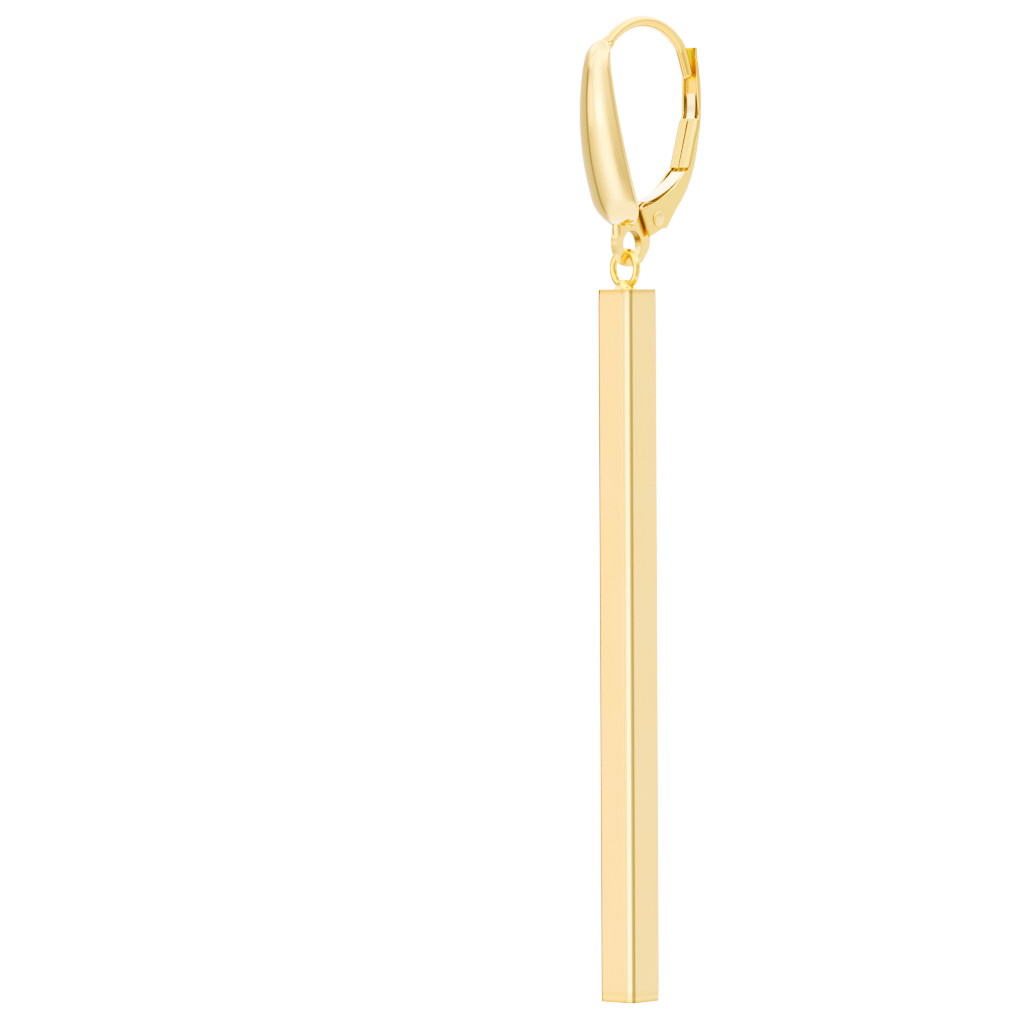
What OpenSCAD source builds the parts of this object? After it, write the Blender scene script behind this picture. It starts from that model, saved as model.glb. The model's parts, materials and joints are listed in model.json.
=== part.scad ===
// Long bar dangle earring with a leverback fastening, in millimetres.
// The origin is on the ear wire's centreline, at the top of its arch. Z is up, the front faces -Y
// and the lever is at +Y. Everything but the ring is symmetric about X = 0.

/* [Bar] */
// Width across the flats of the square tube
bar_w = 3.05; // [2:0.05:4]
// Length of the square tube
bar_len = 52.27; // [20:0.01:70]
// Wall of the square tube
bar_wall = 0.2; // [0.15:0.05:0.4]
// Rounding of the tube's long edges
bar_edge_r = 0.06; // [0.05:0.01:0.25]
// How far in front of the arch's top the bar hangs
bar_forward = 2; // [1.8:0.05:2.1]

/* [Ring] */
// Wire thickness of the ring on top of the bar
ring_wire = 0.57; // [0.5:0.01:0.62]
// Diameter of the ring, from wire centre to wire centre
ring_d = 2.55; // [2.45:0.01:2.7]
// Width of the solder mound that holds the ring
mound_w = 1.3; // [1.2:0.05:2]
// Depth of the solder mound, front to back
mound_d = 0.74; // [0.66:0.02:1]
// Height of the solder mound
mound_h = 0.42; // [0.3:0.02:0.5]

/* [Front drop] */
// Widest half of the domed drop
drop_half_w = 2.08; // [1.95:0.01:2.3]
// Half width of the drop where its round top begins
drop_top_half_w = 0.98; // [0.9:0.01:1.2]
// Height of the drop's bottom end, below the arch's top
drop_bottom = 15.15; // [14.9:0.05:15.3]
// Height of the drop's top end, below the arch's top
drop_top = 1.4; // [1.3:0.05:1.6]
// Depth of the upright rim around the dome
drop_rim = 0.28; // [0.25:0.01:0.5]
// Rise of the dome over the rim, for each millimetre of half width
drop_dome = 0.45; // [0.3:0.01:0.6]

/* [Ear wire] */
// Thickness of the ear wire
wire_d = 0.82; // [0.7:0.01:0.84]
// Radius of the arch, at the wire's centre
arch_r = 5.8; // [5.7:0.05:5.9]

/* [Base plate] */
// Thickness of the plate that carries the loop and the hinge
plate_t = 0.64; // [0.5:0.01:0.76]
// Diameter of the loop hole
loop_hole_d = 1.98; // [1.9:0.01:2.04]

/* [Lever] */
// Width of the lever over its flaps
lever_w = 1.9; // [1.86:0.02:2]
// Width of the lever at its top
lever_top_w = 1.32; // [1.3:0.02:1.4]
// Thickness of the lever's sheet
lever_sheet = 0.22; // [0.18:0.01:0.25]
// Width of the leaf spring
spring_w = 1.24; // [1.1:0.02:1.3]
// Width of the leaf spring at its tip
spring_tip_w = 0.78; // [0.7:0.02:0.8]
// Thickness of the leaf spring
spring_t = 0.12; // [0.08:0.01:0.15]

/* [Hinge rivet] */
// Diameter of the rivet's shank
rivet_d = 0.7; // [0.6:0.05:0.8]
// Diameter of the rivet's heads
rivet_head_d = 1.13; // [1:0.01:1.2]
// Height of the rivet's heads
rivet_head_h = 0.16; // [0.1:0.01:0.2]

/* [Hidden] */
$fn = 64;
gold = [0.95, 0.78, 0.42];
bright_gold = [0.98, 0.84, 0.5];

// Gap between the rivet and the lug that turns on it, and between pieces that are held fast
gap = 0.03;
close_gap = 0.01;
// Overlap that lets two soldered forms share metal
weld = 0.02;
// Reach of the cuts past a piece, and of the shapes that only bound one
past = 1;
reach = 14;

// Ear wire from behind the drop over the arch to its tip. A path is a list of [radius, turn] for an arc
// and [length, 0] for a straight, and a negative turn bends to the right of the way forward
wire_start_turn = 70;
wire_path = [[arch_r, -wire_start_turn], [arch_r, -42], [2, -26.5], [1.64, 0]];
wire_sides = 16;
wire_step = 4.5;
tip_rings = 4;
// Solder collar about the wire, where it leaves the drop
collar_turn = 45;
collar_d = 0.96;
collar_l = 0.36;

// Back of the drop: furthest forward at this height, bending back above and below it
drop_back_y = -5.14;
drop_straight_z = -3.7;
drop_bend_r = 22.9;
drop_curl_r = 4.4;
// Taper of the drop's sides, as a power of the height over its widest place
drop_taper = 1.75;
drop_wide_z = -11.85;
drop_top_round = 1.1;
// Radius of the dome's arch across the drop, as a share of the half width
dome_arch = (1 + drop_dome * drop_dome) / (2 * drop_dome);
drop_rows = 44;
drop_cols = 22;
drop_end = 0.02;

// Loop: its hole, and the round outline of the plate about it
loop_hole = [-1.75, -16.34];
loop_outer = [-1.68, -16.16];
loop_outer_r = 1.82;
loop_back = [[0.33, -15.6], [0.34, -15.95], [0.28, -16.45], [0.05, -16.9], [-0.35, -17.36]];
// Bead that thickens the plate below the drop
bead_y = -3.02;
bead_d = 0.86;
bead_z = [-15.75, -14.4];

// Hinge: the pivot, the lug's radius about it, and the radius of its cam under the leaf spring
pivot = [0.79, -14.47];
lug_r = 1;
cam_r = 1.25;

// Widths of the lever down its height, as [height, share of the way from the top's width to the full width].
// Its cheeks are pinched to a share of their own
lever_top_z = -1.84;
cheek_share = 0.1;
lever_widths = [[lever_top_z, 0], [-2, 0], [-4.7, 0.45], [-6.3, 0.7], [-8, 1], [-12.2, 1],
                [-13.6, cheek_share], [-17, cheek_share]];
cheek_w = lever_top_w + (lever_w - lever_top_w) * cheek_share;
// Back of the lever from above its top down to its end
lever_start = [5.36, -1.5, -75];
lever_path = [[14, -15], [13, -13], [1.7, 0], [8.2, -16], [1.5, 0], [1.5, -9.5], [2.02, 0]];
// Front of the flaps, from their top to their bottom, and the slit between them
flap_top = [5.08, -7.05];
flap_bottom = [3.91, -10.72];
flap_slit = 0.05;
// Front edge of the channel above the flaps, and of the hinge cheeks below them
channel_front = [[5.3, -1.5], [5.28, -2.6], [5.28, -3.5], [5.28, -4.5], [5.32, -5.5],
                 [5.37, -6.3], [5.37, -6.9]];
cheek_front = [[3.96, -10.95], [3.2, -11], [0.8, -11.2], [-1, -12.2], [-1.16, -13.3], [-1.1, -13.68],
               [-0.64, -14.7], [-0.29, -15.5], [-0.19, -15.76], [-0.07, -15.82], [0.61, -15.57],
               [1.81, -15.22]];
// Round hollow that leaves the upper edge of the hinge cheeks
cheek_hollow = [-3.22, -4.64];
cheek_hollow_r = 9.25;
cheek_hollow_top = -10.95;

// Leaf spring from its tip down, round its bend and out over the lug
spring_start = [5.47, -5.27, -84];
spring_path = [[5.85, -23.9], [3.26, 0], [0.7, -32], [11.6, -24]];
// Widths of the leaf spring, as [height, share of the way from its tip's width to its full width]
spring_widths = [[-4, 0], [-7, 0], [-10.6, 1], [-12.2, 1], [-13.5, 0.22], [-15, 0.22]];

// Heights of the ring and the bar
hole_clearance = 0.16;
ring_reach = loop_hole_d / 2 - ring_wire / 2 - hole_clearance;
ring_offset = -bar_forward - loop_hole[0];
ring_top_z = loop_hole[1] - sqrt(ring_reach * ring_reach - ring_offset * ring_offset);
ring_z = ring_top_z - ring_d / 2;
ring_sunk = 0.06;
// Turn of the ring about the bar's axis and its place off the middle: it is soldered on a little askew
ring_askew = -8;
ring_aside = -0.2;
bar_top_z = ring_z - ring_d / 2 - ring_wire / 2 + ring_sunk;

// Place and heading after a share of one arc or straight
function along(place, piece, share) =
    let (size = piece[0], h = place[2], h2 = h + piece[1] * share, s = sign(piece[1]))
    piece[1] == 0
        ? [place[0] + size * share * cos(h), place[1] + size * share * sin(h), h]
        : [place[0] + s * size * (sin(h2) - sin(h)), place[1] + s * size * (cos(h) - cos(h2)), h2];

// Places along a path, at most step degrees of turn apart
function walk(place, path, step, i = 0) =
    i == len(path) ? [place] :
    let (n = path[i][1] == 0 ? 1 : ceil(abs(path[i][1]) / step))
    concat([for (k = [0:n - 1]) along(place, path[i], k / n)],
           walk(along(place, path[i], 1), path, step, i + 1));

// Points at a distance to the left of the places
function beside(places, d) = [for (p = places) [p[0] - d * sin(p[2]), p[1] + d * cos(p[2])]];

// Points in the opposite order
function backwards(points) = [for (i = [len(points) - 1:-1:0]) points[i]];

// Turns a flat drawing (y, z) into a plate of thickness t across X
module across(t, x = 0) {
    rotate([90, 0, 90]) translate([0, 0, x - t / 2]) linear_extrude(t) children();
}

// Half width of the drop at a height
function drop_half(z) =
    let (taper_top_z = -drop_top - drop_top_round / 2,
         rise = max(0, z - drop_wide_z) / (taper_top_z - drop_wide_z),
         side = drop_half_w - (drop_half_w - drop_top_half_w) * pow(rise, drop_taper),
         fall = min(0, z + drop_bottom - drop_half_w),
         top_reach = min(1, (-drop_top - z) / drop_top_round))
    fall < 0 ? sqrt(drop_half_w * drop_half_w - fall * fall)
             : top_reach < 1 ? side * sqrt(1 - pow(1 - top_reach, 2)) : side;

// Y of the drop's back at a height
function drop_back(z) =
    drop_back_y + pow(z - drop_straight_z, 2) / (2 * (z < drop_straight_z ? drop_bend_r : drop_curl_r));

// Rise of the dome at a share of the half width, for a half width of 1
function dome_rise(s) = sqrt(dome_arch * dome_arch - s * s) - dome_arch + drop_dome;

// Closed section of the drop at a height: back corner, rim, dome from right to left, rim, back corner
function drop_section(z) =
    let (half = drop_half(z), back = drop_back(z))
    concat([[half, back, z]],
           [for (j = [0:drop_cols]) let (s = cos(180 * j / drop_cols))
               [half * s, back - drop_rim - half * dome_rise(s), z]],
           [[-half, back, z]]);

// Faces of a form whose rows of n points each run clockwise seen from the first row's side
function skin(rows, n) =
    concat([for (i = [0:rows - 2], j = [0:n - 1]) let (a = i * n, b = a + n, k = (j + 1) % n)
               each [[a + j, b + k, a + k], [a + j, b + j, b + k]]],
           [for (j = [1:n - 2]) [0, j, j + 1]],
           [for (j = [1:n - 2]) let (b = (rows - 1) * n) [b, b + j + 1, b + j]]);

module front_drop() {
    top_z = -drop_top - drop_end;
    bottom_z = -drop_bottom + drop_end;
    middle_z = (top_z + bottom_z) / 2;
    rows = [for (i = [0:drop_rows]) middle_z + (top_z - middle_z) * cos(180 * i / drop_rows)];
    polyhedron([for (z = rows) each drop_section(z)], skin(drop_rows + 1, drop_cols + 3));
}

// Ring of points about a place on the wire, of radius r and moved forward by d
function wire_ring(place, r, d = 0) =
    [for (k = [0:wire_sides - 1]) let (a = 360 * k / wire_sides, u = r * cos(a))
        [r * sin(a), place[0] - u * sin(place[2]) + d * cos(place[2]),
                     place[1] + u * cos(place[2]) + d * sin(place[2])]];

module ear_wire() {
    start = [-arch_r * sin(wire_start_turn), -arch_r * (1 - cos(wire_start_turn)), wire_start_turn];
    places = walk(start, wire_path, wire_step);
    tip = places[len(places) - 1];
    rounding = [for (k = [1:tip_rings]) 86 * k / tip_rings];
    points = concat([for (p = places) each wire_ring(p, wire_d / 2)],
                    [for (a = rounding) each wire_ring(tip, wire_d / 2 * cos(a), wire_d / 2 * sin(a))]);
    polyhedron(points, skin(len(places) + tip_rings, wire_sides));
}

module solder_collar() {
    translate([0, -arch_r * sin(collar_turn), -arch_r * (1 - cos(collar_turn))])
        rotate([collar_turn - 90, 0, 0]) cylinder(d = collar_d, h = collar_l, center = true);
}

module base_plate() {
    across(plate_t) difference() {
        union() {
            translate(loop_outer) circle(loop_outer_r);
            translate(pivot) circle(lug_r);
            polygon(concat([[-3.3, -16.2], [-3.25, -14.7], [-3.6, -13.9], [-3.3, -13.4], [-0.4, -13.7],
                            pivot, [0.45, -15.41]], loop_back, [loop_outer]));
            intersection() {
                translate(pivot) circle(cam_r);
                polygon([pivot, pivot + [1, 2], pivot + [-2, 2], pivot + [-2, -0.2]]);
            }
        }
        translate(loop_hole) circle(d = loop_hole_d);
        translate(pivot) circle(d = rivet_d + 2 * gap);
    }
    translate([0, bead_y, bead_z[0]]) cylinder(d = bead_d, h = bead_z[1] - bead_z[0]);
}

module ear_hook() {
    color(gold) {
        front_drop();
        ear_wire();
        solder_collar();
        base_plate();
    }
}

// A shape seen from the front: its width changes down its height, and it is drawn in by inset on both sides
module front_shape(widths, narrow, wide, inset) {
    right = [for (w = widths) [(narrow + (wide - narrow) * w[1]) / 2 - inset, w[0]]];
    left = [for (p = right) [-p[0], p[1]]];
    rotate([90, 0, 0]) translate([0, 0, -reach]) linear_extrude(2 * reach)
        polygon(concat(right, backwards(left)));
}

module lever_width(inset) {
    front_shape(lever_widths, lever_top_w, lever_w, inset);
}

// The lever's shape seen from the side, solid between its back and its front edges
module lever_side(places) {
    across(lever_w + past) polygon(concat(
        beside(places, 0), backwards(cheek_front), [flap_bottom, flap_top], backwards(channel_front)));
}

// The hollow between the lever's legs: behind the flaps, and open to the front above and below them
module lever_hollow(places, inward) {
    end = places[len(places) - 1];
    low = end[1] - past;
    across(lever_w + past) polygon(concat(
        [[-reach, past], [lever_start[0] - lever_sheet, past]], beside(places, -lever_sheet),
        [[end[0] - past, low], [-reach, low], flap_bottom - reach / 2 * inward,
         flap_bottom + lever_sheet * inward, flap_top + lever_sheet * inward,
         flap_top - reach / 2 * inward]));
}

module cheek_hollow_cut() {
    across(lever_w + past) intersection() {
        translate(cheek_hollow) circle(cheek_hollow_r);
        translate([-cheek_hollow_r, cheek_hollow_top - cheek_hollow_r]) square([2, 1] * cheek_hollow_r);
    }
}

module lever() {
    places = walk(lever_start, lever_path, 2);
    way = (flap_bottom - flap_top) / norm(flap_bottom - flap_top);
    inward = [-way[1], way[0]];
    slit_depth = 1.3 * lever_sheet;
    color(bright_gold) difference() {
        intersection() {
            lever_side(places);
            lever_width(0);
        }
        intersection() {
            lever_hollow(places, inward);
            lever_width(lever_sheet);
        }
        cheek_hollow_cut();
        across(flap_slit) polygon([flap_top - past * inward, flap_bottom - past * inward,
                                   flap_bottom + slit_depth * inward, flap_top + slit_depth * inward]);
        across(lever_w + past) translate(pivot) circle(d = rivet_d + 2 * close_gap);
    }
}

module lever_spring() {
    places = walk(spring_start, spring_path, 4);
    back = beside(places, spring_t / 2);
    front = beside(places, -spring_t / 2);
    color(bright_gold) intersection() {
        across(spring_w + past) polygon(concat(back, backwards(front)));
        front_shape(spring_widths, spring_tip_w, spring_w, 0);
    }
}

module hinge_rivet() {
    color(bright_gold) translate([0, pivot[0], pivot[1]]) rotate([0, 90, 0]) {
        cylinder(d = rivet_d, h = cheek_w + rivet_head_h, center = true);
        for (side = [0, 1]) mirror([0, 0, side]) translate([0, 0, cheek_w / 2 + close_gap])
            cylinder(d1 = rivet_head_d, d2 = rivet_head_d - rivet_head_h, h = rivet_head_h);
    }
}

module rounded_square(w, r) {
    square([w, w - 2 * r], center = true);
    square([w - 2 * r, w], center = true);
    for (x = [-1, 1], y = [-1, 1]) translate([x * (w / 2 - r), y * (w / 2 - r)]) circle(r);
}

module bar_tube() {
    hollow = [bar_w - 2 * bar_wall, bar_w - 2 * bar_wall, bar_len - 2 * bar_wall];
    translate([0, 0, bar_top_z - bar_len / 2]) difference() {
        translate([0, 0, -bar_len / 2]) linear_extrude(bar_len) rounded_square(bar_w, bar_edge_r);
        cube(hollow, center = true);
    }
}

module bar_ring() {
    translate([ring_aside, 0, ring_z]) rotate([90, 0, ring_askew]) rotate_extrude()
        translate([ring_d / 2, 0]) circle(d = ring_wire);
}

module solder_mound() {
    foot = mound_w / 2;
    head = foot - mound_h / 2;
    translate([ring_aside, 0, bar_top_z]) rotate([90, 0, ring_askew]) translate([0, 0, -mound_d / 2])
        linear_extrude(mound_d) polygon([[-foot, -weld], [foot, -weld], [head, mound_h], [-head, mound_h]]);
}

module bar_drop() {
    color(gold) translate([0, -bar_forward, 0]) {
        bar_tube();
        bar_ring();
        solder_mound();
    }
}

ear_hook();
lever();
lever_spring();
hinge_rivet();
bar_drop();
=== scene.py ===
"""Long bar dangle earring with a leverback fastening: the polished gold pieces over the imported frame."""
import json
import math

import bmesh
import bpy
from mathutils import Matrix, Vector, noise
from mathutils.geometry import tessellate_polygon


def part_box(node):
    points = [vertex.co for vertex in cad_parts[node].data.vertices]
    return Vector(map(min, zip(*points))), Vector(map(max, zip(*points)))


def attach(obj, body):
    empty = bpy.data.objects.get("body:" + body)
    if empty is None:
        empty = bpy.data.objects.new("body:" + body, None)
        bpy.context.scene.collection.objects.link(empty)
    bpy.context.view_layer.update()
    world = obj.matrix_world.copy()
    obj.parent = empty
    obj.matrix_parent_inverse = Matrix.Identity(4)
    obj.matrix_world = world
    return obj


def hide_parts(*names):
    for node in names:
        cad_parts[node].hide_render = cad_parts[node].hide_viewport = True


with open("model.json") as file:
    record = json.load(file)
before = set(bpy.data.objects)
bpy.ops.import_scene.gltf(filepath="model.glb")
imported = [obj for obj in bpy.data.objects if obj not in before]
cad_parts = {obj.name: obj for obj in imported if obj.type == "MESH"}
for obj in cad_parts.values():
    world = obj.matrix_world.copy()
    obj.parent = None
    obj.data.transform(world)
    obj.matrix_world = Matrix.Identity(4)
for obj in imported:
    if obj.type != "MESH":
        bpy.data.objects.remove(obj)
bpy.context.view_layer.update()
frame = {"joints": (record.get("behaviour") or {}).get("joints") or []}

# Sizes are in millimetres, in the frame's own axes: X across, Y to the back, Z up
MM = 0.001
hinge = [1000 * v for v in frame["joints"][0]["pos_m"]]
# Turns of a quarter circle in steps of 15 degrees
QUARTER = [math.radians(15 * k) for k in range(7)]


def box_mm(node):
    """Lowest and highest corner of a frame node in millimetres."""
    low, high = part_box(node)
    return Vector(low) * 1000, Vector(high) * 1000


hook_high, lever_high, spring_high, rivet_high = (
    box_mm(node)[1] for node in ("ear_hook", "lever", "lever_spring", "hinge_rivet"))
bar_low, bar_high = box_mm("bar_drop")

# Bar and its ring
BAR_HALF = bar_high.x
BAR_Y = (bar_high.y + bar_low.y) / 2
BAR_LENGTH = 52.27
BAR_BOTTOM = bar_low.z
BAR_TOP = BAR_BOTTOM + BAR_LENGTH
# Edges of the tube from one face round to the next: (length, turn at its start, turn at its end in degrees)
ROUND_EDGE = [(0.1, 0, 90)]
BUFFED_EDGE = [(0.64, 0, 18), (0.12, 18, 45), (0.2, 45, 56), (0.05, 56, 90)]
LEFT_EDGE = [(0.06, 0, 79), (0.13, 79, 84), (0.06, 84, 90)]
BAR_END_SOFT = 0.07
# Polishing wears the tube narrower at its ends, by a depth that fades over a reach
BAR_WORN_DEPTH = 0.02
BAR_WORN_REACH = 0.45
RING_WIRE = 0.57
RING_D = 2.55
RING_ASIDE = -0.2
RING_Z = bar_high.z - (RING_D + RING_WIRE) / 2
RING_ASKEW = math.radians(-8)
RING_WAY = Vector((math.cos(RING_ASKEW), math.sin(RING_ASKEW), 0))
RING_NORMAL = Vector((0, 0, 1)).cross(RING_WAY)
RING_PARTS = 120
RING_SIDES = 28
# Solder mound: the half sizes of its body and how far its foot spreads past them
MOUND_WIDE = (0.78, 0.2)
MOUND_DEEP = (0.5, 0.14)
MOUND_SUNK = 0.03
MOUND_HEIGHT = 0.72
MOUND_ROUGH = 0.2
# How far up its round form the mound ends in a flat top, as a share
MOUND_TOP = 0.92

# Light that the exposure turns to full white
WHITE = 4.6
# Depth below the crown that the bands of colour are counted over
BANDS_REACH = 80

# Front drop
DROP_HALF = hook_high.x
DROP_TOP_HALF = 0.98
DROP_TOP = -1.4
DROP_BOTTOM = -15.15
DROP_RIM = 0.32
DROP_DOME = 0.45
DROP_WIDE_Z = -11.85
DROP_TOP_ROUND = 1.1
DROP_TAPER = 1.75
DROP_SOFT = 0.055
# The back is furthest forward at a point (y, z), and curves away with one radius below it and one above
DROP_BACK_AT = (-5.14, -3.7)
DROP_BACK_RADII = (22.9, 4.4)
# The rim thins to a share of its thickness at the bottom, over a reach
DROP_RIM_THIN = 0.36
DROP_RIM_REACH = 1.6
# The first and last rows stop short of the ends, where the width is nothing
DROP_END = 0.004
DROP_ROWS = 110
DOME_PARTS = 56
DOME_ARCH = (1 + DROP_DOME ** 2) / (2 * DROP_DOME)

# Ear wire: a path is (radius, turn) for an arc and (length, 0) for a straight
WIRE_R = hook_high.z
ARCH_R = 5.8
WIRE_START = 70
WIRE_PATH = [(ARCH_R, -WIRE_START), (ARCH_R, -42), (2, -26.5), (1.64, 0)]
COLLAR_TURN = 45
COLLAR_HALF = 0.3
COLLAR_RISE = 0.07
# Height of the collar's solder, in shares of its rise: the mean and the most that it varies by
COLLAR_ROUGH = (0.75, 1.6)
WIRE_TURNS = [math.radians(10 * k) for k in range(36)]
TIP_TURNS = [math.radians(9.7 * k) for k in range(1, 10)]

# Base plate with its loop and hinge lug
PLATE_T = 0.64
PLATE_EDGE = 0.035
PIVOT = Vector((hinge[1], hinge[2]))
LUG_R = 1
CAM_R = 1.25
LOOP_HOLE = Vector((-1.75, -16.34))
LOOP_HOLE_R = 0.99
LOOP_OUTER = Vector((-1.68, -16.16))
LOOP_OUTER_R = 1.82
# Turns in degrees between which the loop, the lug and the cam make the plate's outline
LOOP_TURNS = (-200, -42.1)
LUG_TURNS = (-107, 63.4)
CAM_TURNS = (63.4, 146)
# Bead that thickens the plate's front under the drop
BEAD_Y = -3.02
BEAD_R = 0.43
BEAD_END = 0.16
BEAD_BOTTOM = -15.75
BEAD_TOP = -14.2
# Outline between the loop and the lug, and from the lug forward to the drop
THROAT = [(-0.35, -17.36), (0.05, -16.9), (0.28, -16.45), (0.34, -15.95), (0.33, -15.6), (0.45, -15.41)]
PLATE_FRONT = [(-0.4, -13.7), (-3.3, -13.4), (-3.6, -13.9), (-3.3, -14.8)]

# Lever, its leaf spring and the rivet
LEVER_HALF = lever_high.x
LEVER_TOP_HALF = 0.66
# Widths down a piece: (height, share of the way from its least half width to its greatest)
LEVER_WIDTHS = [(-2, 0), (-4.7, 0.45), (-6.3, 0.7), (-8, 1), (-12.2, 1), (-13.6, 0.1)]
SHEET = 0.22
SHEET_EDGE = 0.06
FOLD_R = 0.19
FLAP_FOLD = 0.13
FLAP_SLIT = 0.07
FLAP_EDGE = 0.035
# The flaps stop short of their stretch by a share of it, and their slit narrows by a share towards the bottom
FLAP_MARGIN = 0.016
FLAP_SLIT_TAPER = 0.55
FLAP_PARTS = 24
# A place is (y, z, heading in degrees)
LEVER_START = (5.461, -1.9, -76.69)
LEVER_PATH = [(14, -13.31), (13, -13), (1.7, 0), (8.2, -16), (1.5, 0), (1.5, -9.5), (2.32, 0)]
# Height over which the rows turn from level, at the cut top end, to square with the web
LEVER_TOP_REACH = 1.2
FLAP_TOP = Vector((5.08, -7.05))
FLAP_BOTTOM = Vector((3.91, -10.72))
CHANNEL_FRONT = [(5.3, -1.9), (5.28, -2.6), (5.28, -3.5), (5.28, -4.5), (5.32, -5.5), (5.37, -6.3),
                 (5.37, -6.9)]
CHEEK_HOLLOW = (-3.22, -4.64)
CHEEK_HOLLOW_R = 9.25
CHEEK_HOLLOW_TURNS = (-43.4, -76.4)
# The cheeks' upper edges lie this much lower than in the solids
CHEEK_DIP = 0.1
CHEEK_FRONT = [(-1.09, -13.76), (-0.64, -14.7), (-0.29, -15.5), (-0.17, -15.72)]
SPRING_HALF = spring_high.x
SPRING_TIP_HALF = 0.39
SPRING_WIDTHS = [(-7, 0), (-10.6, 1), (-12.2, 1), (-13.5, 0.22)]
SPRING_T = 0.12
SPRING_EDGE = 0.045
SPRING_START = (5.47, -5.27, -84)
SPRING_PATH = [(5.85, -23.9), (3.09, 0), (0.7, -32), (11.6, -24)]
RIVET_R = 0.35
RIVET_HEAD_R = rivet_high.z - PIVOT.y
RIVET_HEAD_X = rivet_high.x
RIVET_SOFT = 0.13
# Shares of the head's height: the straight side of its rim, and the rise of its crown
RIVET_RIM = 0.2
RIVET_CROWN = 0.12
CROWN_RADII = (0.35, 0.26, 0.17, 0.09, 0.02)


# Drawing in the plane of the hook, (y, z)

def along(place, path_piece, share):
    """Place and heading after a share of one arc or straight."""
    y, z, heading = place
    size, turn = path_piece
    h, h2 = math.radians(heading), math.radians(heading + turn * share)
    if not turn:
        return y + size * share * math.cos(h), z + size * share * math.sin(h), heading
    s = math.copysign(size, turn)
    return y + s * (math.sin(h2) - math.sin(h)), z + s * (math.cos(h) - math.cos(h2)), heading + turn * share


def walk(start, path, step=2.0, stride=0.25):
    """Places along a path, at most step degrees of turn or stride millimetres apart."""
    places = [start]
    for path_piece in path:
        size, turn = path_piece
        n = math.ceil(abs(turn) / step) if turn else math.ceil(size / stride)
        base = places[-1]
        places += [along(base, path_piece, (k + 1) / n) for k in range(n)]
    return places


def inward(place, depth):
    """Point at a depth to the right of the way forward, which on the lever is towards the front."""
    h = math.radians(place[2])
    return Vector((place[0] + depth * math.sin(h), place[1] - depth * math.cos(h)))


def arc(centre, radius, first, last, n):
    """Points on an arc about a centre, from one angle to another in degrees."""
    turns = [math.radians(first + (last - first) * k / n) for k in range(n + 1)]
    return [Vector((centre[0] + radius * math.cos(a), centre[1] + radius * math.sin(a))) for a in turns]


def spaced(points, n):
    """n + 1 points at equal distances along a line of points."""
    points = [Vector(p) for p in points]
    run = [0.0]
    for a, b in zip(points, points[1:]):
        run.append(run[-1] + (b - a).length)
    found, i = [], 0
    for k in range(n + 1):
        at = run[-1] * k / n
        while i < len(points) - 2 and run[i + 1] < at:
            i += 1
        found.append(points[i].lerp(points[i + 1], min(1, (at - run[i]) / (run[i + 1] - run[i]))))
    return found


def soft_corner(a, corner, b, n):
    """Points of a soft corner from a to b, without b."""
    return [(1 - t) ** 2 * a + 2 * t * (1 - t) * corner + t * t * b for t in (k / n for k in range(n))]


def upright(point, x):
    """Point in space from a point (y, z) of the drawing and its place across."""
    return Vector((x, point[0], point[1]))


# Making meshes

def linked(name, data):
    """Object of a mesh or a camera, linked to the scene."""
    made = bpy.data.objects.new(name, data)
    bpy.context.scene.collection.objects.link(made)
    return made


def gold_piece(name, body, node, parts, metal, flat=False, inside=None):
    """One piece made of closed parts that rides on a body.

    A part is (points in millimetres, faces), and may add the numbers of its faces that take the inside metal,
    which carries painted shade.
    """
    bm = bmesh.new()
    for points, faces, *shaded_faces in parts:
        verts = [bm.verts.new(p * MM) for p in points]
        shaded_faces = shaded_faces[0] if shaded_faces else ()
        for k, face in enumerate(faces):
            bm.faces.new([verts[i] for i in face]).material_index = int(k in shaded_faces)
    bmesh.ops.recalc_face_normals(bm, faces=bm.faces)
    for face in bm.faces:
        face.smooth = True
    mesh = bpy.data.meshes.new(name)
    bm.to_mesh(mesh)
    bm.free()
    mesh.materials.append(metal)
    if inside:
        mesh.materials.append(inside)
    made = linked(name, mesh)
    if flat:
        made.modifiers.new("flat faces stay flat", "WEIGHTED_NORMAL").weight = 100
    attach(made, body)
    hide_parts(node)


def skin(rings):
    """Closed rings of points joined into a form, with a face over each end."""
    n = len(rings[0])
    points = [p for ring in rings for p in ring]
    faces = [(i * n + j, i * n + (j + 1) % n, (i + 1) * n + (j + 1) % n, (i + 1) * n + j)
             for i in range(len(rings) - 1) for j in range(n)]
    return points, faces + [tuple(range(n))[::-1], tuple(range(len(points) - n, len(points)))]


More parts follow.
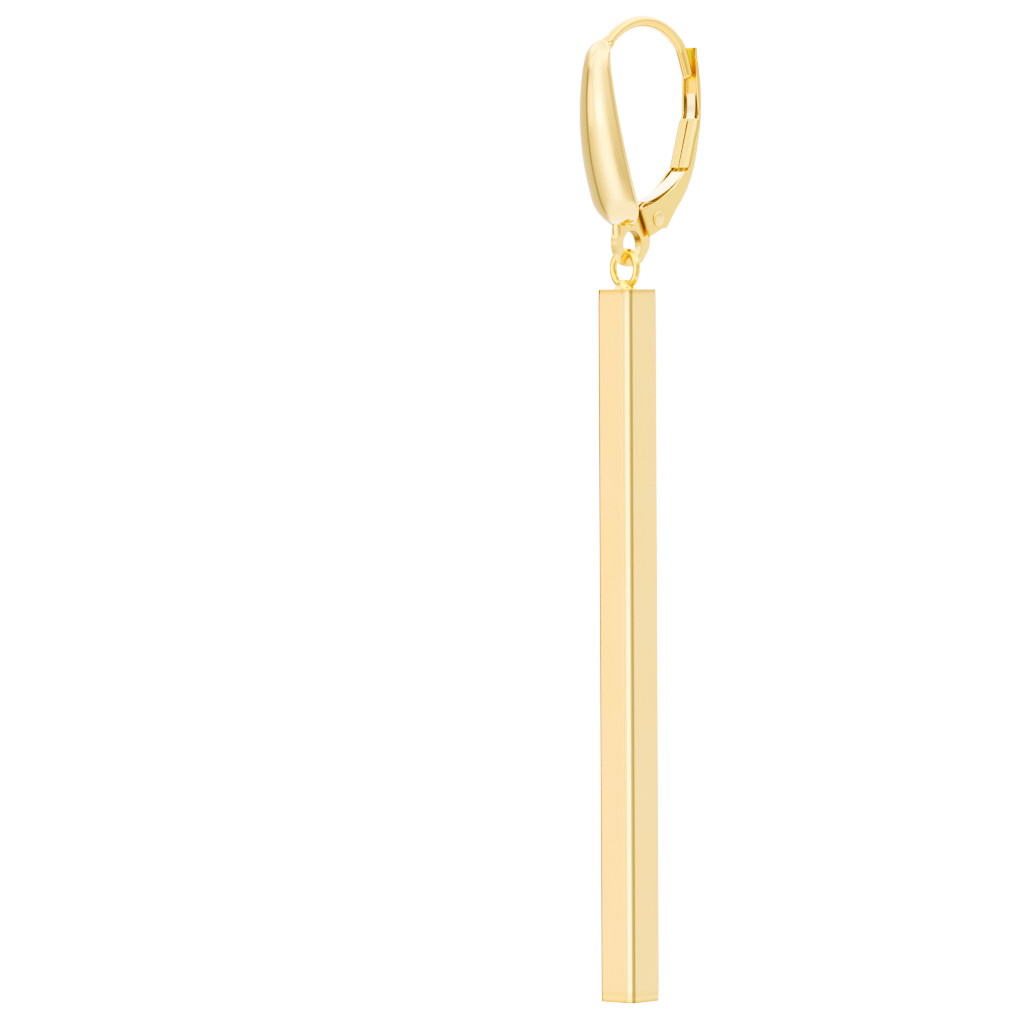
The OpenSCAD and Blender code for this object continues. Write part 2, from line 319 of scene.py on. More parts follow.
def sheet_metal(grid, half, edge):
    """Sheet about a grid of (point, normal) on its middle, with rounded edges that stand out by edge.

    The first faces are those of the two sides in turn, the side that the normals point to first.
    """
    rows, cols = len(grid), len(grid[0])
    points = [p + n * half for row in grid for p, n in row] + [p - n * half for row in grid for p, n in row]
    below = rows * cols
    faces = []
    for i in range(rows - 1):
        for j in range(cols - 1):
            quad = (i * cols + j, i * cols + j + 1, (i + 1) * cols + j + 1, (i + 1) * cols + j)
            faces += [quad, tuple(v + below for v in quad[::-1])]
    border = [(0, j) for j in range(cols)] + [(i, cols - 1) for i in range(1, rows)]
    border += [(rows - 1, j) for j in range(cols - 2, -1, -1)] + [(i, 0) for i in range(rows - 2, 0, -1)]
    ways = []
    for k, (i, j) in enumerate(border):
        here, normal = grid[i][j]
        middle = grid[min(max(i, 1), rows - 2)][min(max(j, 1), cols - 2)][0]
        both = []
        for other_i, other_j in (border[k - 1], border[(k + 1) % len(border)]):
            way = (grid[other_i][other_j][0] - here).cross(normal).normalized()
            both.append(way if way.dot(here - middle) > 0 else -way)
        ways.append((both[0] + both[1]) / max(0.5, 1 + both[0].dot(both[1])))
    profile = [(edge * math.sin(a), half - edge + edge * math.cos(a)) for a in QUARTER[1:]]
    profile += [(out, -up) for out, up in profile[::-1]]
    count = len(border)
    last = [i * cols + j for i, j in border]
    for out, up in profile:
        new = list(range(len(points), len(points) + count))
        points += [grid[i][j][0] + ways[k] * out + grid[i][j][1] * up for k, (i, j) in enumerate(border)]
        faces += [(last[k], last[(k + 1) % count], new[(k + 1) % count], new[k]) for k in range(count)]
        last = new
    new = [i * cols + j + below for i, j in border]
    faces += [(last[k], last[(k + 1) % count], new[(k + 1) % count], new[k]) for k in range(count)]
    return points, faces


def inner_faces(grid):
    """Numbers of the faces of a sheet on the side that the normals of its grid point away from."""
    return set(range(1, 2 * (len(grid) - 1) * (len(grid[0]) - 1), 2))


def cut_plate(loops, half, edge):
    """Flat plate across X with rounded edges, and the numbers of the faces in its holes.

    The loops are its outline and its holes, with the metal on their left.
    """
    profile = [(edge - edge * math.cos(a), half - edge + edge * math.sin(a)) for a in QUARTER]
    profile = [(out, -x) for out, x in profile[::-1]] + profile
    points, faces, ends = [], [], ([], [])
    for loop in loops:
        n = len(loop)
        ways = []
        for k in range(n):
            a, b = (loop[k] - loop[k - 1]).normalized(), (loop[(k + 1) % n] - loop[k]).normalized()
            left = Vector((-a.y - b.y, a.x + b.x))
            ways.append(left / max(0.5, 1 + a.dot(b)))
        first = len(points)
        for out, x in profile:
            points += [upright(loop[k] + ways[k] * out, x) for k in range(n)]
        for i in range(len(profile) - 1):
            a, b = first + i * n, first + (i + 1) * n
            faces += [(a + k, a + (k + 1) % n, b + (k + 1) % n, b + k) for k in range(n)]
        ends[0].append(list(range(first, first + n)))
        ends[1].append(list(range(len(points) - n, len(points))))
    for end in ends:
        corners = [v for ring in end for v in ring]
        flat = [[Vector((points[v].y, points[v].z, 0)) for v in ring] for ring in end]
        faces += [tuple(corners[v] for v in three) for three in tessellate_polygon(flat)]
    outside = len(loops[0]) * (len(profile) - 1)
    walls = sum(len(loop) for loop in loops) * (len(profile) - 1)
    return points, faces, set(range(outside, walls))


def turned(profile, centre, axis, n=48):
    """Form turned about an axis through a centre: the profile is (radius, distance along the axis)."""
    side = axis.orthogonal().normalized()
    up = axis.cross(side)
    rings = []
    for radius, at in profile:
        turns = [2 * math.pi * k / n for k in range(n)]
        rings.append([centre + axis * at + (side * math.cos(a) + up * math.sin(a)) * radius for a in turns])
    return skin(rings)


# Pieces of the hook

def drop_half(z):
    """Half width of the front drop at a height."""
    taper_top = DROP_TOP - DROP_TOP_ROUND / 2
    rise = max(0, z - DROP_WIDE_Z) / (taper_top - DROP_WIDE_Z)
    side = DROP_HALF - (DROP_HALF - DROP_TOP_HALF) * rise ** DROP_TAPER
    fall = min(0, z - DROP_BOTTOM - DROP_HALF)
    if fall < 0:
        return math.sqrt(max(0, DROP_HALF ** 2 - fall ** 2))
    reach = min(1, (DROP_TOP - z) / DROP_TOP_ROUND)
    return side * math.sqrt(max(0, 1 - (1 - reach) ** 2))


def drop_back(z):
    """Y of the drop's back at a height."""
    y, middle = DROP_BACK_AT
    below, above = DROP_BACK_RADII
    return y + (z - middle) ** 2 / (2 * (below if z < middle else above))


def drop_outline(z):
    """Closed section of the drop at a height: right rim, dome from right to left, left rim and back."""
    half, back = drop_half(z), drop_back(z)
    soft = min(DROP_SOFT, 0.4 * half)
    # In the round bottom the dome keeps more of its height than of its width
    blunt = (half / DROP_HALF) ** -0.5 if z < DROP_BOTTOM + DROP_HALF else 1
    rim = DROP_RIM * (DROP_RIM_THIN + (1 - DROP_RIM_THIN) * min(1, (z - DROP_BOTTOM) / DROP_RIM_REACH))

    def dome(share):
        rise = half * blunt * (math.sqrt(DOME_ARCH ** 2 - share ** 2) - DOME_ARCH + DROP_DOME)
        return Vector((half * share, back - rim - rise - (DROP_RIM - rim) * (1 - share ** 2)))

    low, high = Vector((half, back)), Vector((half, back - rim))
    last = 1 - soft / half
    right = soft_corner(low - Vector((soft, 0)), low, low - Vector((0, soft)), 4)
    right += soft_corner(high + Vector((0, soft)), high, dome(last), 5)
    crown = math.asin(last / DOME_ARCH)
    arch = [dome(DOME_ARCH * math.sin(crown * (1 - 2 * k / DOME_PARTS))) for k in range(DOME_PARTS + 1)]
    left = [Vector((-p.x, p.y)) for p in right[::-1]]
    seat = [Vector(((soft - half) * (1 - 2 * k / 6), back)) for k in range(1, 6)]
    return [Vector((p.x, p.y, z)) for p in right + arch + left + seat]


def front_drop():
    """Domed, tapered drop in front of the ear."""
    top, bottom = DROP_TOP - DROP_END, DROP_BOTTOM + DROP_END
    turns = [math.pi * i / DROP_ROWS for i in range(DROP_ROWS + 1)]
    return skin([drop_outline((top + bottom) / 2 + (top - bottom) / 2 * math.cos(a)) for a in turns])


def wire_ring(place, radii, ahead=0):
    """Ring of points round a place on the wire, one for each radius, moved ahead along it."""
    h = math.radians(place[2])
    centre = upright(place, 0) + Vector((0, math.cos(h), math.sin(h))) * ahead
    across = Vector((0, -math.sin(h), math.cos(h)))
    return [centre + (across * math.cos(a) + Vector((math.sin(a), 0, 0))) * radius
            for a, radius in zip(WIRE_TURNS, radii)]


def ear_wire():
    """Round wire over the ear, with the solder collar at its foot and a rounded tip."""
    start = (-ARCH_R * math.sin(math.radians(WIRE_START)), -ARCH_R * (1 - math.cos(math.radians(WIRE_START))),
             WIRE_START)
    places = walk(start, WIRE_PATH, 1.2, 0.12)
    collar_at = (WIRE_START - COLLAR_TURN) * math.radians(1) * ARCH_R
    rings, run = [], 0
    mean, varied = COLLAR_ROUGH
    for k, place in enumerate(places):
        if k:
            run += math.dist(place[:2], places[k - 1][:2])
        off = abs(run - collar_at) / COLLAR_HALF
        bulge = COLLAR_RISE * (1 - off ** 4) ** 0.5 if off < 1 else 0
        uneven = [noise.noise(Vector((3 * math.cos(a), 3 * math.sin(a), 9 * run))) for a in WIRE_TURNS]
        rings.append(wire_ring(place, [WIRE_R + bulge * (mean + varied * value) for value in uneven]))
    for b in TIP_TURNS:
        rings.append(wire_ring(places[-1], [WIRE_R * math.cos(b)] * len(WIRE_TURNS), WIRE_R * math.sin(b)))
    return skin(rings)


def base_plate():
    """Flat plate under the drop with its loop and its hinge lug, and the bead that thickens its front."""
    outline = arc(LOOP_OUTER, LOOP_OUTER_R, *LOOP_TURNS, 60)
    outline += spaced(THROAT, 20)[1:]
    outline += arc(PIVOT, LUG_R, *LUG_TURNS, 40)
    outline += arc(PIVOT, CAM_R, *CAM_TURNS, 28)
    outline += [Vector(p) for p in PLATE_FRONT]
    hole = arc(LOOP_HOLE, LOOP_HOLE_R, 0, -354, 59)
    plate = cut_plate([outline, hole], PLATE_T / 2, PLATE_EDGE)
    ends = [(BEAD_R * math.sin(a), BEAD_END * (1 - math.cos(a))) for a in QUARTER[1:]]
    profile = [(r, BEAD_BOTTOM + at) for r, at in ends] + [(r, BEAD_TOP - at) for r, at in ends[::-1]]
    bead = turned(profile, Vector((0, BEAD_Y, 0)), Vector((0, 0, 1)))
    return [plate, bead]


# Pieces of the lever

def width_share(z, widths):
    """Share of the full width at a height, from a list of (height, share) down the piece."""
    if z > widths[0][0]:
        return widths[0][1]
    for (high, wide), (low, narrow) in zip(widths, widths[1:]):
        if z >= low:
            return wide + (narrow - wide) * (high - z) / (high - low)
    return widths[-1][1]


def lever_half(z):
    """Half width of the lever at a height."""
    return LEVER_TOP_HALF + (LEVER_HALF - LEVER_TOP_HALF) * width_share(z, LEVER_WIDTHS)


def lever_front(depth):
    """Front line of the lever's legs from the top down, in three stretches: channel, flaps and cheeks."""
    way = (FLAP_BOTTOM - FLAP_TOP).normalized()
    back = Vector((-way.y, way.x)) * depth
    hollow = arc(CHEEK_HOLLOW, CHEEK_HOLLOW_R + SHEET_EDGE + CHEEK_DIP, *CHEEK_HOLLOW_TURNS, 40)
    inner = Vector((SHEET_EDGE, 0))
    return ([Vector(p) + inner for p in CHANNEL_FRONT], [FLAP_TOP + back, FLAP_BOTTOM + back],
            [FLAP_BOTTOM + back + Vector((-0.1, -0.12))] + hollow + [Vector(p) + inner for p in CHEEK_FRONT])


def nearest_row(places, point):
    """Number of the place whose line across the path passes nearest to a point."""
    def off(k):
        h = math.radians(places[k][2])
        return abs((Vector(places[k][:2]) - point).dot(Vector((math.cos(h), math.sin(h)))))

    return min(range(len(places)), key=off)


def channel():
    """Folded channel of the lever: web, folds, legs and hinge cheeks in one sheet."""
    half = SHEET / 2
    places = walk(LEVER_START, LEVER_PATH, 1.0, 0.12)
    lines = lever_front(half + FLAP_FOLD)
    upper, lower = nearest_row(places, FLAP_TOP), nearest_row(places, FLAP_BOTTOM)
    stretches = [(0, upper), (upper, lower), (lower, len(places) - 1)]
    fronts = []
    for (first, last), line in zip(stretches, lines):
        found = spaced(line, last - first)
        fronts += found if last == len(places) - 1 else found[:-1]
    grid = []
    for place, front in zip(places, fronts):
        square = min(1, (LEVER_START[1] - place[1]) / LEVER_TOP_REACH)
        row = (place[0], place[1], -90 + (place[2] + 90) * square)
        fold = inward(row, half + FOLD_R)
        facing = inward((0, 0, row[2]), -1)
        leg = [front.lerp(fold, k / 8) for k in range(8)]
        side = [(upright(p, lever_half(p.y) - half), Vector((1, 0, 0))) for p in leg]
        for a in QUARTER:
            p = inward(row, half + FOLD_R - FOLD_R * math.sin(a))
            x = lever_half(p.y) - half - FOLD_R + FOLD_R * math.cos(a)
            normal = Vector((math.cos(a), facing.x * math.sin(a), facing.y * math.sin(a)))
            side.append((upright(p, x), normal))
        web_x = lever_half(place[1]) - half - FOLD_R
        web = [(upright(inward(row, half), web_x * share), upright(facing, 0)) for share in (0.5, 0)]
        other = [(Vector((-p.x, p.y, p.z)), Vector((-n.x, n.y, n.z))) for p, n in side + web[:1]][::-1]
        grid.append(side + web + other)
    points, faces = sheet_metal(grid, half, SHEET_EDGE)
    return points, faces, inner_faces(grid)


def flaps():
    """Two flaps crimped over the spring, with the slit between them."""
    half = SHEET / 2
    way = (FLAP_BOTTOM - FLAP_TOP).normalized()
    back = Vector((-way.y, way.x))
    made = []
    for side in (1, -1):
        grid = []
        for k in range(FLAP_PARTS + 1):
            line = FLAP_TOP.lerp(FLAP_BOTTOM, FLAP_MARGIN + (1 - 2 * FLAP_MARGIN) * k / FLAP_PARTS)
            fold_x = lever_half(line.y) - half - FLAP_FOLD
            row = []
            for a in QUARTER:
                depth = half + FLAP_FOLD - FLAP_FOLD * math.sin(a)
                normal = Vector((side * math.cos(a), -back.x * math.sin(a), -back.y * math.sin(a)))
                row.append((upright(line + back * depth, side * (fold_x + FLAP_FOLD * math.cos(a))), normal))
            inner = FLAP_SLIT * (1 - FLAP_SLIT_TAPER * k / FLAP_PARTS) + FLAP_EDGE
            for share in (0.25, 0.5, 0.75, 1):
                x = fold_x + (inner - fold_x) * share
                row.append((upright(line + back * half, side * x), Vector((0, -back.x, -back.y))))
            grid.append(row)
        points, faces = sheet_metal(grid, half, FLAP_EDGE)
        made.append((points, faces, inner_faces(grid)))
    return made


def leaf_spring():
    """Leaf spring from its tip in the channel to its tail over the lug."""
    grid = []
    for place in walk(SPRING_START, SPRING_PATH, 1.5, 0.2):
        facing = upright(inward((0, 0, place[2]), 1), 0)
        wide = SPRING_TIP_HALF + (SPRING_HALF - SPRING_TIP_HALF) * width_share(place[1], SPRING_WIDTHS)
        grid.append([(upright(place, (wide - SPRING_EDGE) * (1 - k / 3)), facing) for k in range(7)])
    return sheet_metal(grid, SPRING_T / 2, SPRING_EDGE)


def rivet():
    """Hinge rivet with a low soft head on each cheek."""
    foot = lever_half(PIVOT.y) + 0.005
    rise = RIVET_HEAD_X - foot
    head = [(RIVET_HEAD_R - 0.01, foot)]
    for k in range(13):
        a = math.radians(90 * k / 12)
        up = RIVET_RIM + (1 - RIVET_RIM - RIVET_CROWN) * math.sin(a)
        head.append((RIVET_HEAD_R - RIVET_SOFT + RIVET_SOFT * math.cos(a), foot + rise * up))
    head += [(r, foot + rise * (1 - RIVET_CROWN * (r / 0.43) ** 2)) for r in CROWN_RADII]
    profile = [(r, -at) for r, at in head[::-1]] + [(RIVET_R, -foot), (RIVET_R, foot)] + head
    return turned(profile, Vector((0, PIVOT.x, PIVOT.y)), Vector((1, 0, 0)))


# Pieces of the bar

def bar_outline(shrink):
    """Square section of the tube: flat faces between edges that are buffed more or less round."""
    half = BAR_HALF - shrink
    section = []
    for quarter, bends in enumerate((BUFFED_EDGE, ROUND_EDGE, ROUND_EDGE, LEFT_EDGE)):
        forward, inside = 0, 0
        edge = [(0, 0)]
        for length, first, last in bends:
            for k in range(6):
                turn = math.radians(first + (last - first) * (k + 0.5) / 6)
                forward += length / 6 * math.cos(turn)
                inside += length / 6 * math.sin(turn)
                edge.append((forward, inside))
        c, s = math.cos(math.radians(90 * quarter)), math.sin(math.radians(90 * quarter))
        for forward, inside in ((half - edge[-1][0] + u, w - half) for u, w in edge):
            section.append((forward * c - inside * s, forward * s + inside * c))
    return section


def bar_tube():
    """Long square tube, closed at both ends."""
    soft = BAR_END_SOFT
    ends = [(soft * (1 - math.sin(a)), soft * (1 - math.cos(a))) for a in QUARTER]
    heights = [(BAR_BOTTOM + up, shrink) for shrink, up in ends]
    heights += [(BAR_BOTTOM + soft + (BAR_LENGTH - 2 * soft) * k / 60, 0) for k in range(1, 60)]
    heights += [(BAR_TOP - up, shrink) for shrink, up in ends[::-1]]
    rings = []
    for z, shrink in heights:
        near = min(z - BAR_BOTTOM, BAR_TOP - z)
        worn = BAR_WORN_DEPTH * math.exp(-(near / BAR_WORN_REACH) ** 2)
        rings.append([Vector((x, BAR_Y + y, z)) for x, y in bar_outline(shrink + worn)])
    return skin(rings)


def bar_ring():
    """Round ring on top of the bar."""
    centre = Vector((RING_ASIDE, BAR_Y, RING_Z))
    points, faces = [], []
    for i in range(RING_PARTS):
        a = 2 * math.pi * i / RING_PARTS
        out = RING_WAY * math.sin(a) + Vector((0, 0, math.cos(a)))
        here, ahead = i * RING_SIDES, (i + 1) % RING_PARTS * RING_SIDES
        for j in range(RING_SIDES):
            b = 2 * math.pi * j / RING_SIDES
            point = centre + out * (RING_D / 2 + RING_WIRE / 2 * math.cos(b))
            points.append(point + RING_NORMAL * RING_WIRE / 2 * math.sin(b))
            beside = (j + 1) % RING_SIDES
            faces.append((here + j, here + beside, ahead + beside, ahead + j))
    return points, faces


def solder_mound():
    """Uneven mound of solder that holds the ring on the bar."""
    rings = []
    for i in range(17):
        t = i / 16
        crown, foot = math.sqrt(1 - (MOUND_TOP * t) ** 2), (1 - t) ** 3
        wide, deep = (size * crown + spread * foot for size, spread in (MOUND_WIDE, MOUND_DEEP))
        centre = Vector((RING_ASIDE, BAR_Y, BAR_TOP - MOUND_SUNK + MOUND_HEIGHT * t))
        ring = []
        for j in range(40):
            a = 2 * math.pi * j / 40
            rough = 1 + MOUND_ROUGH * noise.noise(Vector((2.4 * math.cos(a), 2.4 * math.sin(a), 3.5 * t)))
            ring.append(centre + (RING_WAY * wide * math.cos(a) + RING_NORMAL * deep * math.sin(a)) * rough)
        rings.append(ring)
    return skin(rings)


# Metals

class Value:
    """A socket's value in a node tree, with the arithmetic that the metals use."""

    def __init__(self, metal, socket):
        self.metal, self.socket = metal, socket

    def __add__(self, other):
        return self.metal.math("ADD", self, other)

    def __mul__(self, other):
        return self.metal.math("MULTIPLY", self, other)

    def __sub__(self, other):
        return self.metal.math("SUBTRACT", self, other)

    def __rsub__(self, other):
        return self.metal.math("SUBTRACT", other, self)

    def __truediv__(self, other):
        return self.metal.math("DIVIDE", self, other)

    __radd__ = __add__


class Metal:
    """Node tree of a metal, of the floor's paint or of the studio's surroundings."""

    def __init__(self, tree):
        self.tree = tree
        self.tree.nodes.clear()

    def node(self, kind, settings=None, inputs=None, output=0):
        """Adds a node, sets its settings first, then its inputs, and returns one output."""
        made = self.tree.nodes.new(kind)
        for name, value in (settings or {}).items():
            if name == "stops":
                ramp = made.color_ramp
                while len(ramp.elements) < len(value):
                    ramp.elements.new(1)
                for element, (place, shade) in zip(ramp.elements, value):
                    element.position = place
                    element.color = shade
            elif name == "interpolation":
                made.color_ramp.interpolation = value
            else:
                setattr(made, name, value)
        for name, value in (inputs or {}).items():
            if isinstance(value, Value):
                self.tree.links.new(value.socket, made.inputs[name])
            else:
                made.inputs[name].default_value = value
        return Value(self, made.outputs[output]) if made.outputs else None

    def math(self, operation, *values):
        return self.node("ShaderNodeMath", {"operation": operation}, dict(enumerate(values)))


# Tint of the gold in its deeper and its paler clouds, in shares of the tint given
DEEP = (0.985, 0.955, 0.9)
PALE = (1.0, 1.02, 1.08)
# How much the scratches and the clouds add to the roughness, and how deep the scratches look
SCRATCH = 0.03
CLOUD = 0.03
# Depths in metres of the scratches and of the waves that the polishing leaves
SCRATCH_DEPTH = 0.00002
WAVE_DEPTH = 0.00004
GLOW = (1, 0.5, 0.02, 1)


def gold(name, tint=(1.0, 0.62, 0.25), gloss=0.09, wave=0.25, scale=1.0, glow=0.0, bands=None):
    """Polished gold: an uneven tint, hairline polishing scratches and the soft waviness of hand finishing.

    Gloss is the least roughness, wave the strength of the waviness, scale the size of its clouds and waves,
    and glow the light that stands for further reflections between the pieces. Bands are (height, shade), with
    the height in millimetres and from below up; their shades multiply the colour as painted shade, painted
    highlights and painted reflections at those heights.
    """
    made = bpy.data.materials.new(name)
    made.use_nodes = True
    metal = Metal(made.node_tree)
    place = metal.node("ShaderNodeTexCoord", output="Object")

    def grain(size, stretch=(1, 1, 1), detail=2.0, roughness=0.5):
        """Noise with grains of a size in millimetres, longer where the stretch is less than one."""
        lay = metal.node("ShaderNodeMapping", {"vector_type": "POINT"},
                         {"Vector": place, "Scale": tuple(s * 1000 / size for s in stretch)})
        return metal.node("ShaderNodeTexNoise", {},
                          {"Vector": lay, "Scale": 1.0, "Detail": detail, "Roughness": roughness})

    cloud = grain(4.0 * scale)
    hairs = grain(0.05, (1, 1, 0.05), 3.0, 0.7)
    cross_hairs = grain(0.06, (0.08, 0.08, 1), 3.0, 0.7)
    swell = grain(1.3 * scale, (1, 1, 0.45), 1.0)
    deep = tuple(c * f for c, f in zip(tint, DEEP))
    pale = tuple(min(1, c * f) for c, f in zip(tint, PALE))
    colour = metal.node("ShaderNodeMix", {"data_type": "RGBA"}, {0: cloud, 6: (*deep, 1), 7: (*pale, 1)}, 2)
    # Painted shade and painted highlights: the bands' shades multiply the colour by height
    if bands:
        up = metal.node("ShaderNodeSeparateXYZ", {}, {0: place}, 2) * (-1000 / BANDS_REACH)
        stops = [(-z / BANDS_REACH, (*shade, 1)) for z, shade in bands[::-1]]
        shade = metal.node("ShaderNodeValToRGB", {"stops": stops, "interpolation": "LINEAR"}, {0: up})
        colour = metal.node("ShaderNodeMix", {"data_type": "RGBA", "blend_type": "MULTIPLY"},
                            {0: 1.0, 6: colour, 7: shade}, 2)
    worn = metal.node("ShaderNodeMapRange", {}, {0: hairs * cross_hairs, 1: 0.1, 2: 0.5, 3: 0.0, 4: 1.0})
    rough = gloss + worn * SCRATCH + cloud * CLOUD
    bump = metal.node("ShaderNodeBump", {}, {"Strength": SCRATCH, "Distance": SCRATCH_DEPTH,
                                             "Height": hairs + cross_hairs * 0.5})
    bump = metal.node("ShaderNodeBump", {},
                      {"Strength": wave, "Distance": WAVE_DEPTH, "Height": swell, "Normal": bump})
    shader = metal.node("ShaderNodeBsdfPrincipled", {},
                        {"Base Color": colour, "Metallic": 1.0, "Roughness": rough, "Normal": bump,
                         "Emission Color": GLOW, "Emission Strength": glow})
    metal.node("ShaderNodeOutputMaterial", {}, {"Surface": shader})
    return made


# Studio: directions in the tent are an azimuth, 0 in front and 90 on the right, and a rise, both in degrees

# Brightness of the tent's wall by azimuth
WALL = [(-180, 2.4), (-150, 2.2), (-125, 1.55), (-100, 1.35), (-75, 1.22), (-55, 1.42), (-42, 1.75),
        (-33, 2.1), (-25, 2.5), (-17, 3.1), (-9, 3.8), (0, 4.0), (8, 3.7), (16, 3.1), (25, 2.15), (34, 1.85),
        (45, 1.7), (52, 1.4), (58, 0.95), (66, 0.85), (74, 1.3), (95, 1.7), (139, 2.35), (180, 2.4)]
WALL_MOST = 5
# Patches of the tent: the azimuth's and the rise's (middle, how far it is full, how far it reaches)
LEANING = ((36, 6, 20), (0, 26, 38))
PANEL = ((-41, 7, 14), (-3, 5, 9))
LAMP = ((-5, 9, 16), (-5, 3, 8))
HIGH_PANEL = ((-46, 6, 18), (23, 3, 15))
SIDE_SHADE = ((125, 28, 45), (15, 10, 14))
# The opening's edge slants by this much azimuth for each degree of rise
SLANT = 0.42
OPENING = ((-58, 1.5, 7), (-30, 33, 44))
HIGH_OPENING = ((-58, 2, 12), (26, 20, 32))
ROOF = (90, 48, 76)
ROOF_MIDDLE = (90, 8, 50)
GROUND = (-90, 44, 58)
# Brightness that a patch adds, and that roof and ground have
PANEL_LIGHT = 0.85
LAMP_LIGHT = 1.5
HIGH_PANEL_LIGHT = 2.4
ROOF_LIGHT = 4.0
ROOF_MIDDLE_LESS = 1.25
GROUND_LIGHT = 2.7
# Shares of the brightness that the opening's edge and the shaded side take away
OPENING_DARK = 0.58
HIGH_OPENING_DARK = 0.35
SIDE_DARK = 0.3
# The leaning part of the wall brightens by this share for each degree of rise, between two rises
LEAN = 0.013
LEAN_FROM, LEAN_TO = -24.0, 20.0
# Colour of the panel's light
PANEL_CAST = (1.4, 0.96, 0.92, 1)


def surroundings():
    """Soft white tent: bright in front, dimmer towards its sides, with the dark edge of its front opening."""
    world = bpy.data.worlds.new("soft white tent")
    bpy.context.scene.world = world
    world.use_nodes = True
    tent = Metal(world.node_tree)
    way = tent.node("ShaderNodeTexCoord", output="Generated")
    split = tent.node("ShaderNodeSeparateXYZ", {}, {0: way})
    x, y, z = (Value(tent, split.socket.node.outputs[k]) for k in range(3))
    turn = tent.math("ARCTAN2", x, 0 - y) / (2 * math.pi) + 0.5
    stops = [((a + 180) / 360, (v / WALL_MOST, v / WALL_MOST, v / WALL_MOST, 1)) for a, v in WALL]
    wall = tent.node("ShaderNodeValToRGB", {"stops": stops, "interpolation": "LINEAR"}, {0: turn}) * WALL_MOST
    azimuth = turn * 360 - 180
    rise = tent.math("ARCSINE", z) * (180 / math.pi)
    slanted = azimuth - rise * SLANT

    def band(value, middle, full, none):
        """One near a middle value, falling softly to nothing."""
        off = tent.math("ABSOLUTE", value - middle)
        return tent.node("ShaderNodeMapRange", {"interpolation_type": "SMOOTHSTEP"},
                         {0: off, 1: full, 2: none, 3: 1, 4: 0})

    def patch(place, across=azimuth):
        """One in a patch of the tent, falling softly to nothing round it."""
        return band(across, *place[0]) * band(rise, *place[1])

    tilt = tent.math("MINIMUM", tent.math("MAXIMUM", rise, LEAN_FROM), LEAN_TO)
    panel, roof, ground = patch(PANEL), band(rise, *ROOF), band(rise, *GROUND)
    bright = wall * (1 + patch(LEANING) * tilt * LEAN) * (1 - patch(OPENING, slanted) * OPENING_DARK)
    bright = bright + panel * PANEL_LIGHT + patch(LAMP) * LAMP_LIGHT + patch(HIGH_PANEL) * HIGH_PANEL_LIGHT
    overhead = roof * (ROOF_LIGHT - band(rise, *ROOF_MIDDLE) * ROOF_MIDDLE_LESS)
    bright = bright * (1 - roof) * (1 - ground) + overhead + ground * GROUND_LIGHT
    bright = bright * (1 - patch(HIGH_OPENING, slanted) * HIGH_OPENING_DARK)
    bright = bright * (1 - patch(SIDE_SHADE) * SIDE_DARK)
    cast = tent.node("ShaderNodeMix", {"data_type": "RGBA"}, {0: panel, 6: (1, 1, 1, 1), 7: PANEL_CAST}, 2)
    lit = tent.node("ShaderNodeBackground", {}, {"Color": cast, "Strength": bright})
    seen = tent.node("ShaderNodeBackground", {}, {"Color": (1, 1, 1, 1), "Strength": WHITE})
    camera_ray = tent.node("ShaderNodeLightPath", output="Is Camera Ray")
    both = tent.node("ShaderNodeMixShader", {}, {0: camera_ray, 1: lit, 2: seen})
    tent.node("ShaderNodeOutputWorld", {}, {"Surface": both})


# Floor: its half width and how far it lies below the bar, in metres
FLOOR_HALF = 3.0
FLOOR_DROP = 0.03


def floor():
    """Plain white floor some way below the hanging earring."""
    made = bpy.data.materials.new("white floor")
    made.use_nodes = True
    paint = Metal(made.node_tree)
    glow = paint.node("ShaderNodeEmission", {}, {"Color": (1, 1, 1, 1), "Strength": WHITE})
    paint.node("ShaderNodeOutputMaterial", {}, {"Surface": glow})
    wide, low = FLOOR_HALF, BAR_BOTTOM * MM - FLOOR_DROP
    mesh = bpy.data.meshes.new("floor")
    corners = [(-wide, -wide, low), (wide, -wide, low), (wide, wide, low), (-wide, wide, low)]
    mesh.from_pydata(corners, [], [(0, 1, 2, 3)])
    mesh.materials.append(made)
    sheet = linked("floor", mesh)
    sheet.visible_glossy = False
    sheet.visible_diffuse = False


# Camera: its turn to the right side, its dip and its roll, and where it aims, in millimetres
CAMERA_ANGLES = (40.85, 2.02, -0.286)
CAMERA_HEIGHT = -15.6
CAMERA_ASIDE = -8.5
CAMERA_AWAY = 575
CAMERA_LENS = 276.15


def camera():
    """Long lens level with the drop's foot, turned to see the front, the right side and the fastening."""
    turn, dip, roll = (math.radians(a) for a in CAMERA_ANGLES)
    side = Vector((math.cos(turn), math.sin(turn), 0))
    forward = Vector((-math.sin(turn) * math.cos(dip), math.cos(turn) * math.cos(dip), -math.sin(dip)))
    up = side.cross(forward)
    right = side * math.cos(roll) + up * math.sin(roll)
    up = right.cross(forward)
    back = Vector((math.sin(turn), -math.cos(turn), 0))
    place = Vector((0, BAR_Y, CAMERA_HEIGHT)) + side * CAMERA_ASIDE + back * CAMERA_AWAY
    lens = bpy.data.cameras.new("camera")
    lens.lens = CAMERA_LENS
    lens.sensor_width = 36
    lens.clip_start, lens.clip_end = 0.01, 20
    made = linked("camera", lens)
    made.matrix_world = Matrix.Translation(place * MM) @ Matrix((right, up, -forward)).transposed().to_4x4()
    bpy.context.scene.camera = made


# Film for red, green and blue: its strength, its steepness, and the most it takes in for a unit of light
FILM = [(1.0, 1.12, 2.0), (1.0, 1.0, 1.0), (1.36, 1.5, 1.12)]
FILM_LIGHTS = (0.05, 0.1, 0.17, 0.26, 0.4, 0.6, 0.9, 1.3, 1.8, 2.5, 3.4)


